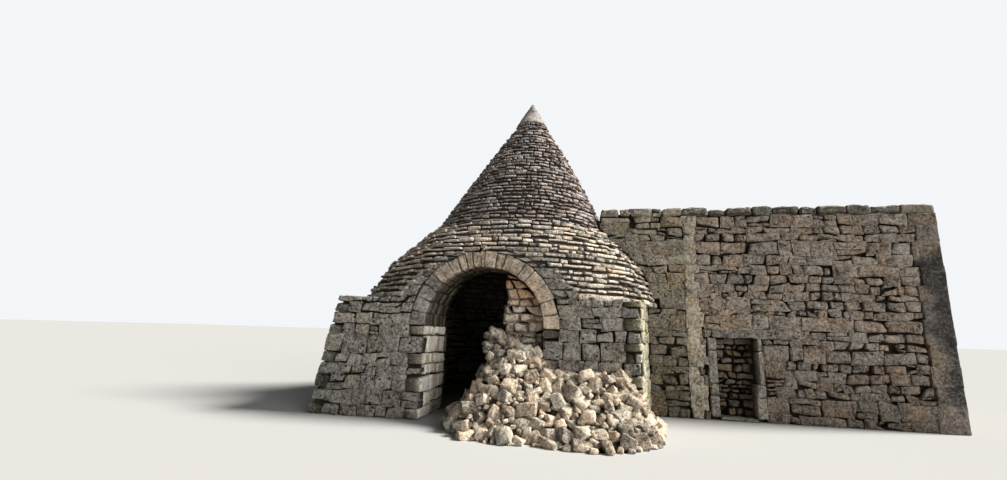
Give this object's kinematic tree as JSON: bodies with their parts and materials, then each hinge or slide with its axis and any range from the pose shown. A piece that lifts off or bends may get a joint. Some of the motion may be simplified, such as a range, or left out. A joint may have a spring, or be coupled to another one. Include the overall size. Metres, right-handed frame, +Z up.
{
  "type": "trullo house",
  "caption": "Dry-stone trullo with a leaning conical slab roof and an open arched front, joined by a link wall to a flat-topped stone house with a walled-up doorway.",
  "frame": {"origin": "middle of the bounding box in plan, at the lowest point of the walls", "axes": "+X along the front to the right, +Y from the front to the rear, +Z up"},
  "size_m": [14.6806, 9.25, 8.815],
  "materials": {
    "wall_stone": "weathered grey limestone blocks laid dry",
    "arch_stone": "dressed tan limestone voussoirs",
    "roof_slab_stone": "thin grey limestone slabs laid dry",
    "vault_stone": "rough corbelled limestone",
    "pinnacle_stone": "smooth pale limestone",
    "house_stone": "warm grey limestone rubble in courses",
    "capping_stone": "large weathered grey slabs",
    "quoin_stone": "large dark grey corner blocks",
    "old_quoin_stone": "pale mortared corner blocks",
    "door_stone": "dressed pale limestone",
    "infill_stone": "rough rubble laid dry",
    "heap_stone": "fallen rubble"
  },
  "bodies": {
    "root": {"front_wall_left": "wall_stone", "front_wall_right": "wall_stone", "right_wall": "wall_stone", "rear_right_wall": "wall_stone", "rear_wall": "wall_stone", "rear_left_wall": "wall_stone", "left_wall": "wall_stone", "arch_ring_left": "arch_stone", "arch_ring_right": "arch_stone", "roof_skirt_front": "roof_slab_stone", "roof_skirt_right": "roof_slab_stone", "roof_skirt_rear": "roof_slab_stone", "roof_skirt_left": "roof_slab_stone", "cone_tier_1": "roof_slab_stone", "cone_tier_2": "roof_slab_stone", "cone_tier_3": "roof_slab_stone", "cone_tier_4": "roof_slab_stone", "vault_haunch_front": "vault_stone", "vault_haunch_right": "vault_stone", "vault_haunch_rear": "vault_stone", "vault_haunch_left": "vault_stone", "house_vault": "vault_stone", "pinnacle": "pinnacle_stone", "link_wall": "house_stone", "house_front_wall_left": "house_stone", "house_front_wall_right": "house_stone", "house_front_wall_over_door": "house_stone", "house_left_wall": "house_stone", "house_right_wall": "house_stone", "house_rear_wall": "house_stone", "capping_front": "capping_stone", "capping_rear": "capping_stone", "capping_left": "capping_stone", "capping_right": "capping_stone", "corner_quoins": "quoin_stone", "old_corner_quoins": "old_quoin_stone", "door_lintel": "door_stone", "door_jamb_left": "door_stone", "door_jamb_right": "door_stone", "door_threshold": "door_stone", "arch_infill": "infill_stone", "door_infill": "infill_stone", "rubble_heap": "heap_stone"}
  },
  "joints": []
}
